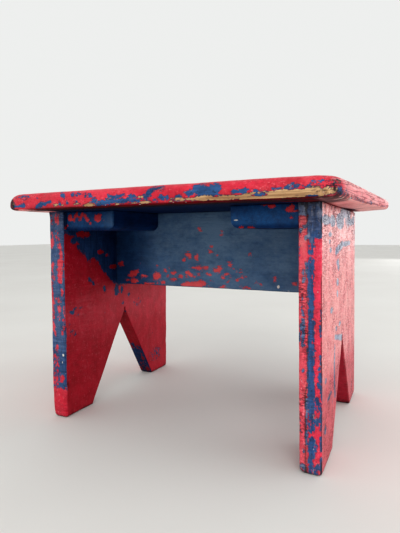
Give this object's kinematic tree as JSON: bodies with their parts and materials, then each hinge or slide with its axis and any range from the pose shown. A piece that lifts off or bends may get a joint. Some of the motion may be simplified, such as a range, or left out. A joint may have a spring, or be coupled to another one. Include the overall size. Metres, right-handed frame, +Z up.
{
  "type": "step stool",
  "caption": "Low hand-made wooden step stool: two leaning end boards with a sawn V notch, a board on edge between them and a wide round-cornered top, painted and worn.",
  "frame": {"origin": "on the floor, under the centre of the stool's outline", "axes": "+Z up; +X along the top's length; -Y is the front, where the cleats sit 6 mm behind the end boards' front edges"},
  "size_m": [0.3542, 0.292, 0.243],
  "materials": {
    "top_paint": "worn red paint over blue over bare pine",
    "end_board_paint": "worn red paint over blue",
    "stretcher_paint": "dusty blue paint, flaked red spots",
    "cleat_paint": "blue paint with red flecks",
    "nail_steel": "plain wire nail, heads painted over"
  },
  "bodies": {
    "root": {"top_board": "top_paint", "left_end_board": "end_board_paint", "right_end_board": "end_board_paint", "stretcher": "stretcher_paint", "front_left_cleat": "cleat_paint", "front_right_cleat": "cleat_paint", "rear_left_cleat": "cleat_paint", "rear_right_cleat": "cleat_paint", "top_nails_left": "nail_steel", "top_nails_right": "nail_steel", "top_nails_stretcher": "nail_steel", "stretcher_nails_left": "nail_steel", "stretcher_nails_right": "nail_steel", "cleat_nails_left": "nail_steel", "cleat_nails_right": "nail_steel", "cleat_top_nails_left": "nail_steel", "cleat_top_nails_right": "nail_steel"}
  },
  "joints": []
}
